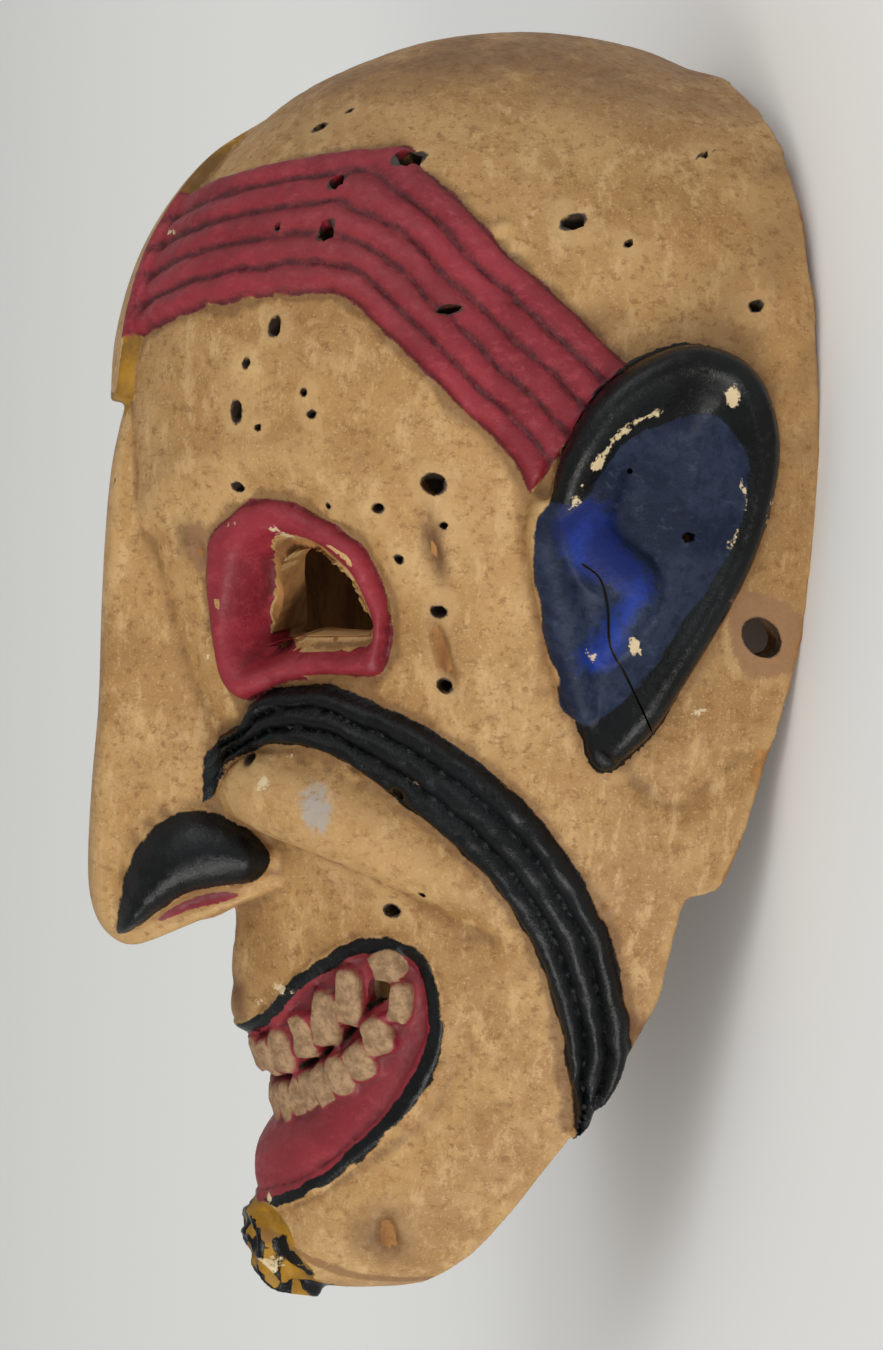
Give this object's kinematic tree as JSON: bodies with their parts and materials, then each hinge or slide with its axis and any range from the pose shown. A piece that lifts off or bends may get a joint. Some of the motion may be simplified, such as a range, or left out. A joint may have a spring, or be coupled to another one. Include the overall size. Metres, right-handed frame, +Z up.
{
  "type": "carved wooden dance mask",
  "caption": "Hollow carved and painted wooden ceremonial dance mask with a hooked nose, ribbed brow and cheek bands, bared teeth and large ears, lying face up on its back rim.",
  "frame": {"origin": "on the resting surface, under the middle of the mask's outline", "axes": "+Z up, the way the face looks as the mask lies on its back rim, +Y towards the crown, +X towards the mask's own left ear"},
  "size_m": [0.1918, 0.3038, 0.1423],
  "materials": {
    "painted_wood": "old matt tan paint on carved wood, crimson brow bands, lids and gums, satin black cheek bands, nostrils and lip lines, blue ears with black rims, ochre traces, worm holes and worn edges"
  },
  "bodies": {
    "root": {"mask": "painted_wood"}
  },
  "joints": []
}
